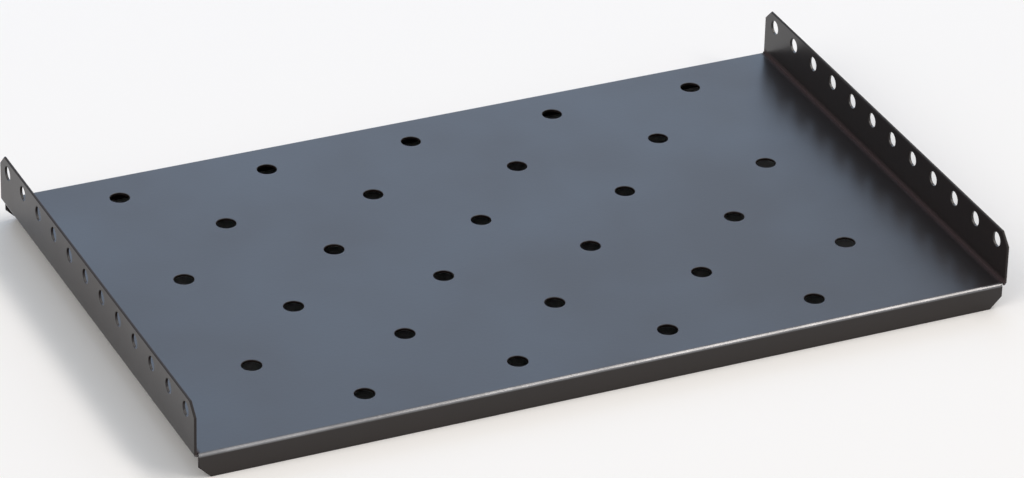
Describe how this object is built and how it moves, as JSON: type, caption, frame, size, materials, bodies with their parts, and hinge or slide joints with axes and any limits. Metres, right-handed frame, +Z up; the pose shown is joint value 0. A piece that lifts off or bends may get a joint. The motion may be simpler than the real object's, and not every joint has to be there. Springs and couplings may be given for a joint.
{
  "type": "cantilever rack shelf tray",
  "caption": "Folded sheet-steel rack shelf tray: flat vented deck, upturned side flanges with bolt holes, and downturned front and rear lips with cut corners.",
  "frame": {"origin": "middle of the shelf in plan, level with the bottom edges of the front and rear lips", "axes": "+X to the shelf's right along its width, +Y to the rear, +Z up out of the deck"},
  "size_m": [0.485, 0.3, 0.045],
  "materials": {
    "powder_coat": "satin black powder coat over sheet steel"
  },
  "bodies": {
    "root": {"shelf": "powder_coat"}
  },
  "joints": []
}
